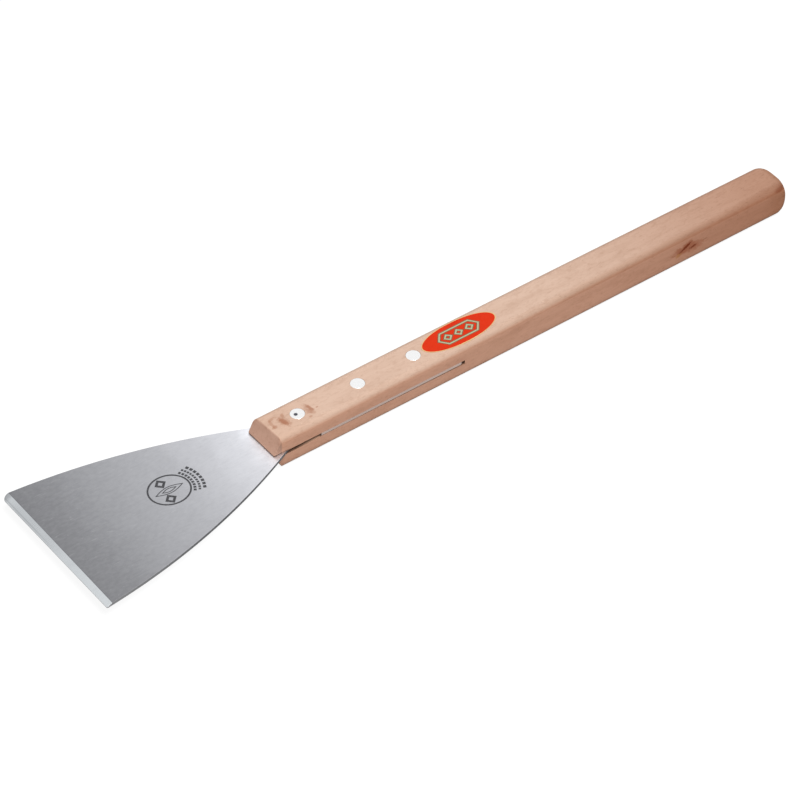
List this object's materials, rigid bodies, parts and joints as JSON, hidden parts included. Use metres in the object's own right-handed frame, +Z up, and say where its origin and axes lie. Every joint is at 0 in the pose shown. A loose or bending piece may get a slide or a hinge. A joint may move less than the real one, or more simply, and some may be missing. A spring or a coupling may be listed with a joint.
{
  "type": "hand scraper",
  "caption": "Long-handled hand scraper: a flared flat steel blade with a ground edge, its tang riveted into the saw cut of a square wooden handle with an oval label.",
  "frame": {"origin": "middle of the bounding box, at the height of the handle's underside", "axes": "+X runs from the cutting edge to the butt of the handle, +Y to the side with the rounder blade corner, +Z up through the thickness of the handle"},
  "size_m": [0.584, 0.1195, 0.0257],
  "materials": {
    "steel": "ground and lightly brushed",
    "beech": "sanded and oiled",
    "rivet": "satin",
    "label": "satin coated paper"
  },
  "bodies": {
    "root": {"blade": "steel", "handle": "beech", "oval_label": "label", "rivet_shank_1": "rivet", "rivet_shank_2": "rivet", "rivet_shank_3": "rivet", "rivet_tube_1": "rivet", "rivet_tube_2": "rivet", "rivet_tube_3": "rivet"}
  },
  "joints": []
}
